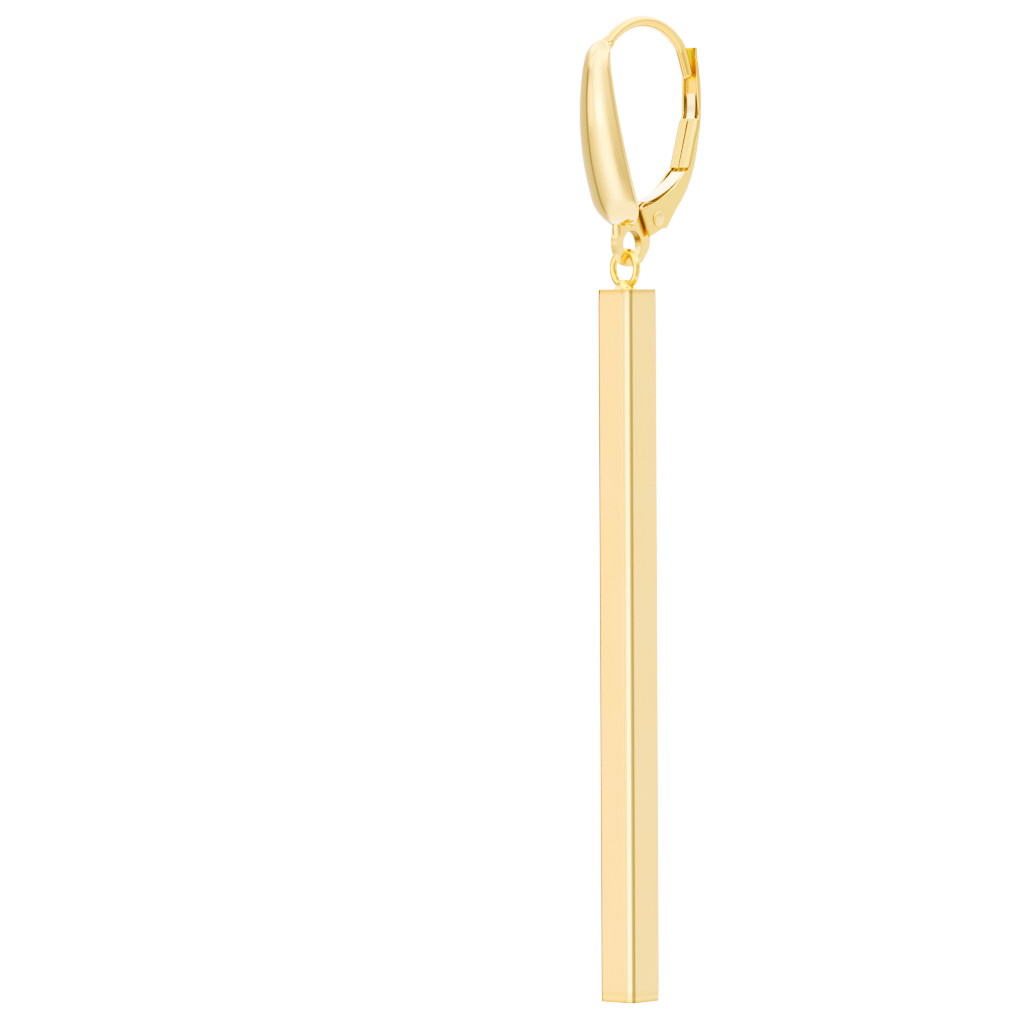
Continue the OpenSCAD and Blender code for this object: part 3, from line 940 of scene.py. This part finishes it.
def development():
    """Soft shoulder of the exposure: bright gold runs out to white as it does on film."""
    view = bpy.context.scene.view_settings
    view.view_transform = "Standard"
    view.look = "None"
    view.exposure, view.gamma = 0, 1
    view.use_curve_mapping = True
    curves = view.curve_mapping
    curves.white_level = (WHITE, WHITE, WHITE)
    curves.use_clip = True
    for curve, (strength, steepness, most) in zip(curves.curves, FILM):
        for light in FILM_LIGHTS:
            exposed = min(strength * light ** steepness, most * light)
            point = curve.points.new(light / WHITE, 1 - math.exp(-exposed))
            point.handle_type = "AUTO_CLAMPED"
    curves.update()


# Shades of the bands: as elsewhere, a painted reflection of the ear wire at the lever's top end, painted
# shade in the hidden corners, and a painted highlight at the drop's foot
PLAIN, WIRE_REFLECTION, DARK, LIT = (1, 1, 1), (0.88, 0.96, 0.2), (0.34, 0.22, 0.08), (1, 1.3, 1.8)
# Painted highlight: the drop's foot is paler below -14.3 mm
drop_gold = gold("drop gold", wave=0.1, bands=[(DROP_BOTTOM, LIT), (-14.8, LIT), (-14.3, PLAIN)])
wire_gold = gold("ear wire gold", tint=(1.0, 0.56, 0.19), gloss=0.14, wave=0.4)
plate_gold = gold("plate gold", tint=(0.9, 0.55, 0.2), gloss=0.14, wave=0.3, glow=0.04)
# Painted shade: the loop hole's wall darkens over its upper half
hole_gold = gold("loop hole gold", tint=(0.9, 0.55, 0.2), gloss=0.18, wave=0.3, glow=0.04,
                 bands=[(-17.6, PLAIN), (-16.4, PLAIN), (-16.0, DARK), (-15.3, (0.55, 0.42, 0.2))])
# The lever's tint is darker than the drop's: painted shade for the lesser light that its faces reflect
lever_gold = gold("lever gold", tint=(0.82, 0.51, 0.18), gloss=0.12, wave=0.12, glow=0.04)
# Inside faces of the lever: rougher, with painted shade down the middle where the flaps and the spring cover
# the channel, and a painted reflection of the ear wire at the top end
channel_gold = gold("rougher inside of the lever with painted shade", tint=(0.86, 0.51, 0.17), gloss=0.2, wave=0.12,
                    glow=0.07, bands=[(-12.2, PLAIN), (-11.2, DARK), (-5.4, DARK), (-5.32, PLAIN),
                                      (-4.3, PLAIN), (-4.24, WIRE_REFLECTION), (-1.8, WIRE_REFLECTION)])
# Paler tint: a paler metal, and a painted highlight for the bright top and front light that the spring
# reflects
spring_gold = gold("spring gold", tint=(0.9, 0.76, 0.43), gloss=0.14, glow=0.03)
rivet_gold = gold("rivet gold", tint=(1.0, 0.62, 0.24), gloss=0.1)
# Painted shade and painted highlight at the bar's ends: a dark line, a bright band and a faint dark line near
# the bottom, and a dark line near the top
bar_gold = gold("bar gold", tint=(0.9, 0.55, 0.22), wave=0.05, scale=2.0,
                bands=[(BAR_BOTTOM, (0.6, 0.56, 0.4)), (BAR_BOTTOM + 0.12, (0.78, 0.76, 0.6)),
                       (BAR_BOTTOM + 0.2, (1.12, 1.1, 0.98)), (BAR_BOTTOM + 0.48, (1.12, 1.08, 1.0)),
                       (BAR_BOTTOM + 0.56, (0.86, 0.85, 0.72)), (BAR_BOTTOM + 0.68, PLAIN),
                       (BAR_TOP - 0.2, PLAIN), (BAR_TOP - 0.1, (0.72, 0.64, 0.5)),
                       (BAR_TOP, (0.9, 0.86, 0.8))])
ring_gold = gold("ring gold", tint=(1.0, 0.6, 0.17), gloss=0.12, wave=0.4, glow=0.04)

gold_piece("front_drop", "hook", "ear_hook", [front_drop()], drop_gold, flat=True)
gold_piece("ear_wire", "hook", "ear_hook", [ear_wire()], wire_gold)
gold_piece("base_plate", "hook", "ear_hook", base_plate(), plate_gold, flat=True, inside=hole_gold)
gold_piece("folded_lever", "lever", "lever", [channel()] + flaps(), lever_gold, flat=True,
           inside=channel_gold)
gold_piece("leaf_spring", "lever", "lever_spring", [leaf_spring()], spring_gold, flat=True)
gold_piece("rivet", "lever", "hinge_rivet", [rivet()], rivet_gold)
gold_piece("bar", "drop", "bar_drop", [bar_tube()], bar_gold, flat=True)
gold_piece("bar_ring", "drop", "bar_drop", [bar_ring(), solder_mound()], ring_gold)
surroundings()
floor()
camera()
development()
